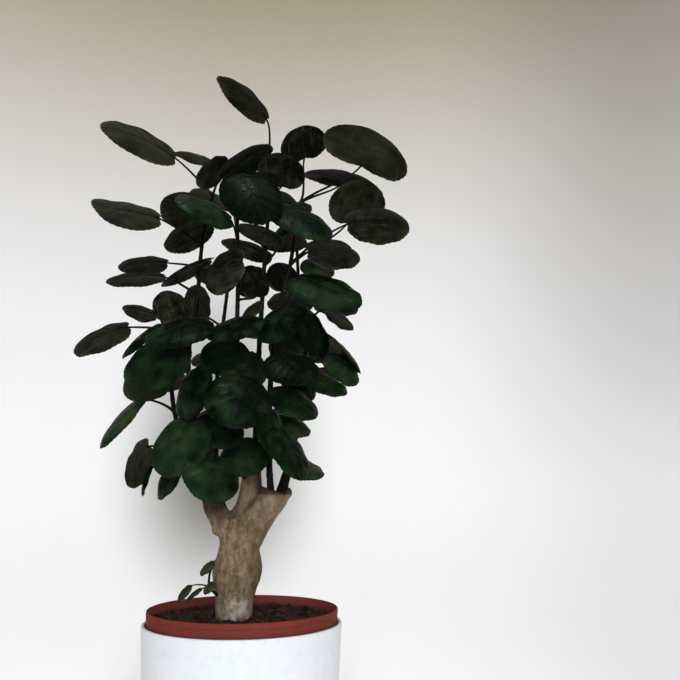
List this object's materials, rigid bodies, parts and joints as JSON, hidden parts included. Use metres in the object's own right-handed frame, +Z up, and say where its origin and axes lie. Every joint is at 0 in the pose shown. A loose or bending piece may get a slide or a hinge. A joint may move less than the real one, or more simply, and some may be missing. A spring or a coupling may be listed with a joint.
{
  "type": "potted polyscias",
  "caption": "Round-leaved polyscias with leafy upright stems on a short pruned trunk, in a brown plastic nursery pot standing in a white tapered ceramic cover pot.",
  "frame": {"origin": "centre of the cover pot's underside, on the surface it stands on", "axes": "+Z up; -Y is the side that the picture looks at; +X is to that viewer's right"},
  "size_m": [0.3491, 0.2667, 0.7548],
  "materials": {
    "white_ceramic": "satin",
    "terracotta_plastic": "satin",
    "potting_soil": "matte",
    "bark": "matte",
    "foliage": "satin"
  },
  "bodies": {
    "root": {"cover_pot": "white_ceramic", "nursery_pot": "terracotta_plastic", "soil": "potting_soil", "trunk": "bark", "leafy_stem_left_tall": "foliage", "leafy_stem_left_low": "foliage", "leafy_stem_middle_tall": "foliage", "leafy_stem_middle_front": "foliage", "leafy_stem_right_tall": "foliage", "leafy_stem_right_low": "foliage", "leafy_stem_back_left": "foliage", "leafy_stem_back_right": "foliage", "basal_sprout": "foliage"}
  },
  "joints": []
}
